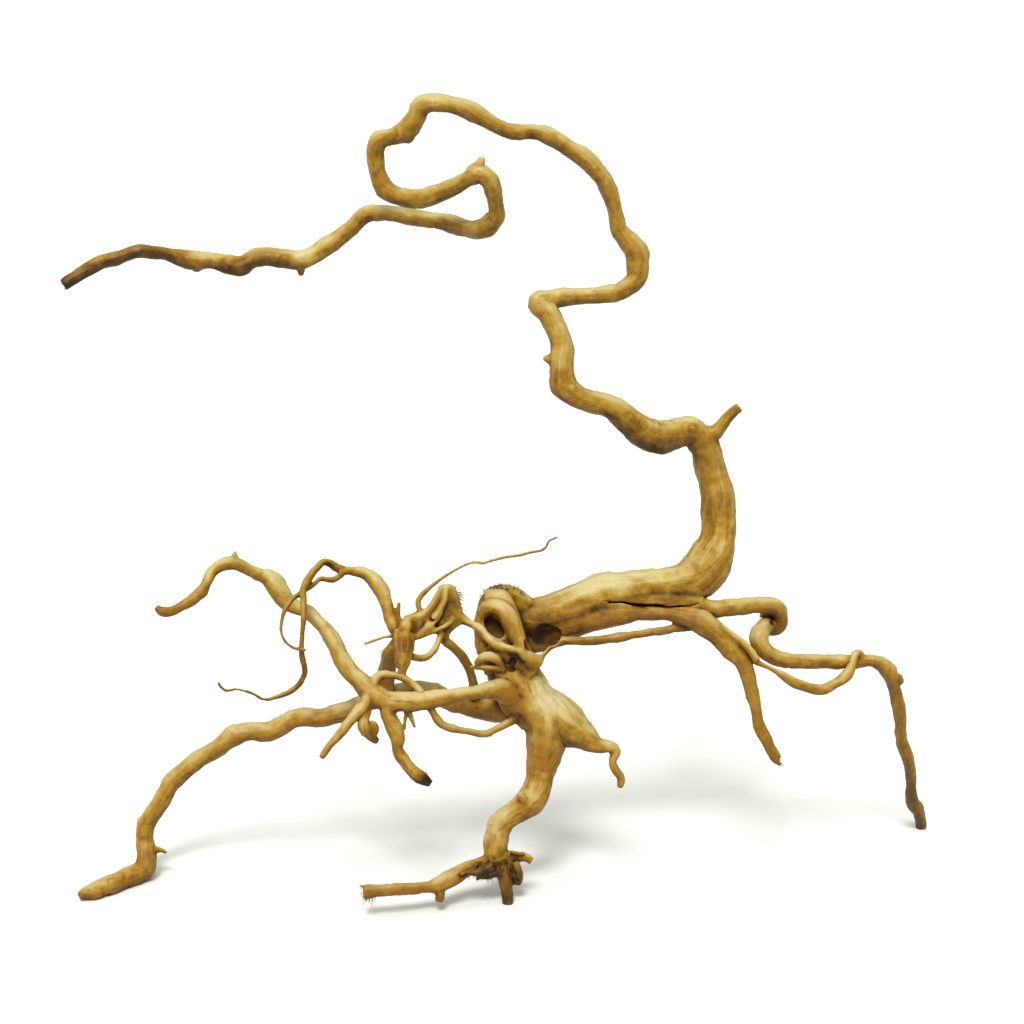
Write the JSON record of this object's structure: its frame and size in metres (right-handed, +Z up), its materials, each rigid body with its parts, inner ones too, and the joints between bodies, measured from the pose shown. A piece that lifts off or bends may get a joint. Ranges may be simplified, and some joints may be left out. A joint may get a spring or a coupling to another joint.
{
  "type": "driftwood root",
  "caption": "Branching weathered root that stands on three of its feet, with a tall looping upper limb, for a tank, terrarium or display.",
  "frame": {"origin": "middle of the whole piece's box at its base, on the surface that the feet stand on", "axes": "+X from the long looping limb's tip side towards the far right foot, +Y away from the viewer, +Z up"},
  "size_m": [0.4434, 0.1242, 0.3969],
  "materials": {
    "wood": "satin"
  },
  "bodies": {
    "root": {"driftwood": "wood"}
  },
  "joints": []
}
